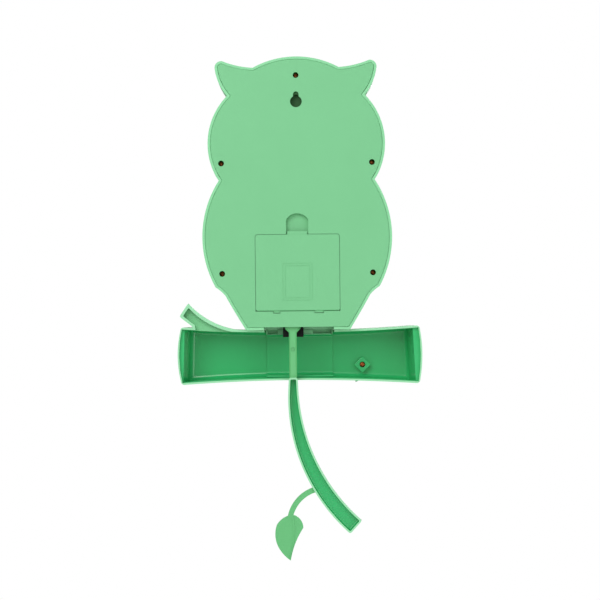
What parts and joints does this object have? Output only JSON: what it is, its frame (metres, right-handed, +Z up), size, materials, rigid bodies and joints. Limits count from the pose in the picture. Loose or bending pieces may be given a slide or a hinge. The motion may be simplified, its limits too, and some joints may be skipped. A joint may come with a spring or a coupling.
{
  "type": "pendulum wall clock",
  "caption": "Owl-shaped quartz wall clock on a branch, with a keyhole back, a battery door, a swinging twig pendulum and eyes that follow it.",
  "frame": {"origin": "centre of the keyhole's entry hole, on the back face that lies against the wall", "axes": "+Z is up, +Y points into the wall out of the back, and the dial faces -Y; +X is to the right seen from the front"},
  "size_m": [0.1847, 0.0545, 0.3788],
  "materials": {
    "mint_abs": "moulded, satin gloss",
    "deep_mint_abs": "moulded, satin gloss",
    "black_plastic": "moulded, fine grain",
    "white_plastic": "moulded, gloss",
    "orange_plastic": "moulded, gloss",
    "clear_lens": "clear moulded cover",
    "printed_card": "matt card",
    "steel": "plated",
    "copper_screw": "copper-plated steel",
    "brass": "turned",
    "winding": "enamelled copper wire",
    "circuit_board": "solder mask",
    "cell_sleeve": "printed sleeve"
  },
  "bodies": {
    "case": {"front_shell": "mint_abs", "back_cover": "mint_abs", "branch_shell": "mint_abs", "branch_leaf": "mint_abs", "case_screws": "copper_screw", "branch_screw": "copper_screw", "aa_cells": "cell_sleeve", "spring_contacts": "steel", "plate_contacts": "steel", "chassis_plate": "black_plastic", "chassis_screws": "steel", "pivot_pin": "steel", "drive_coil": "winding", "movement_case": "black_plastic", "movement_lid": "black_plastic", "movement_nut": "brass", "circuit_board": "circuit_board", "quartz_crystal": "steel", "stepper_coil": "winding", "stepper_stator": "steel", "dial_plate": "printed_card", "dial_marks": "black_plastic", "dial_bezel": "mint_abs", "dial_lens": "clear_lens", "beak": "orange_plastic", "eye_rings": "white_plastic", "feet": "orange_plastic", "left_wing": "deep_mint_abs", "right_wing": "deep_mint_abs", "eye_bracket": "black_plastic", "bracket_screws": "steel"},
    "pendulum": {"rocker_lever": "black_plastic", "rocker_magnet": "steel", "pendulum_twig": "mint_abs"},
    "eye_slider": {"eye_bar": "white_plastic"},
    "left_eyeball": {"left_eye": "white_plastic", "left_pupil": "black_plastic"},
    "right_eyeball": {"right_eye": "white_plastic", "right_pupil": "black_plastic"},
    "minute_train": {"minute_arbor": "brass", "minute_hand": "black_plastic", "hand_cap": "brass"},
    "hour_train": {"hour_wheel": "brass", "hour_hand": "black_plastic"},
    "setting_train": {"minute_wheel": "brass", "set_knob": "black_plastic"},
    "door": {"battery_door": "mint_abs"}
  },
  "joints": [
    {"name": "pendulum_swing", "type": "hinge", "parent": "case", "child": "pendulum", "pos_m": [0.0041, -0.0235, -0.112], "axis": [0, 1, 0], "range_deg": [-6, 6]},
    {"name": "eye_bar_slide", "type": "slide", "parent": "case", "child": "eye_slider", "axis": [1, 0, 0], "range_m": [-0.008, 0.008]},
    {"name": "left_eye_turn", "type": "hinge", "parent": "case", "child": "left_eyeball", "pos_m": [0.024, -0.036, -0.033], "axis": [0, 0, 1], "range_deg": [-28.5, 28.5]},
    {"name": "right_eye_turn", "type": "hinge", "parent": "case", "child": "right_eyeball", "pos_m": [-0.024, -0.036, -0.033], "axis": [0, 0, 1], "range_deg": [-28.5, 28.5]},
    {"name": "minute_turn", "type": "hinge", "parent": "case", "child": "minute_train", "pos_m": [0, -0.04, -0.101], "axis": [0, 1, 0], "continuous": true},
    {"name": "hour_turn", "type": "hinge", "parent": "case", "child": "hour_train", "pos_m": [0, -0.04, -0.101], "axis": [0, 1, 0], "continuous": true},
    {"name": "setting_turn", "type": "hinge", "parent": "case", "child": "setting_train", "pos_m": [0.012, -0.03, -0.11], "axis": [0, 1, 0], "continuous": true},
    {"name": "door_hinge", "type": "hinge", "parent": "case", "child": "door", "pos_m": [0, -0.001, -0.1561], "axis": [-1, 0, 0], "range_deg": [0, 65]}
  ],
  "couplings": [
    {"joint": "eye_bar_slide", "follows": "pendulum_swing", "m_per_rad": 0.0757},
    {"joint": "left_eye_turn", "follows": "pendulum_swing", "ratio": -4.731},
    {"joint": "right_eye_turn", "follows": "pendulum_swing", "ratio": -4.731},
    {"joint": "hour_turn", "follows": "minute_turn", "ratio": 0.083333},
    {"joint": "setting_turn", "follows": "minute_turn", "ratio": -0.33333}
  ]
}
